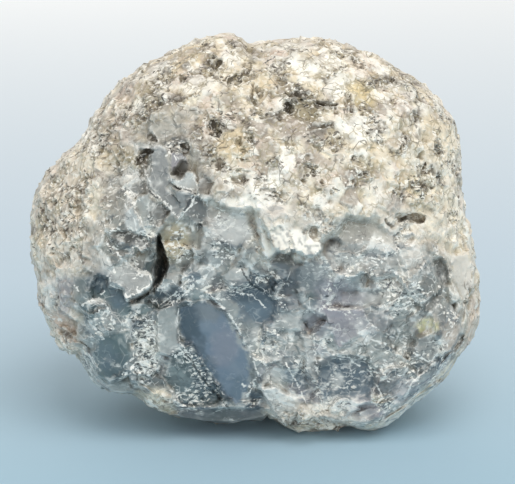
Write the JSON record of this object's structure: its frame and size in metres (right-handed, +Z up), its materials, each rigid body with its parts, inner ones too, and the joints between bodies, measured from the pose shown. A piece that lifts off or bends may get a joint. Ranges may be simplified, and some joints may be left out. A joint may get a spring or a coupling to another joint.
{
  "type": "celestite crystal cluster",
  "caption": "Rounded nodule of grey-blue celestite in a pale granular crust, broken open low on one side to flat crystal faces, ledges and clefts.",
  "frame": {"origin": "middle of the bounding box's base, in the plane of the flat patch the lump rests on", "axes": "+X to the right and -Y towards the viewer, as one looks at the broken side; +Z up"},
  "size_m": [0.0888, 0.0662, 0.0763],
  "materials": {
    "celestite_and_crust": "rough cream crust, with glossy grey-blue faces where it is broken open"
  },
  "bodies": {
    "root": {"celestite_specimen": "celestite_and_crust"}
  },
  "joints": []
}
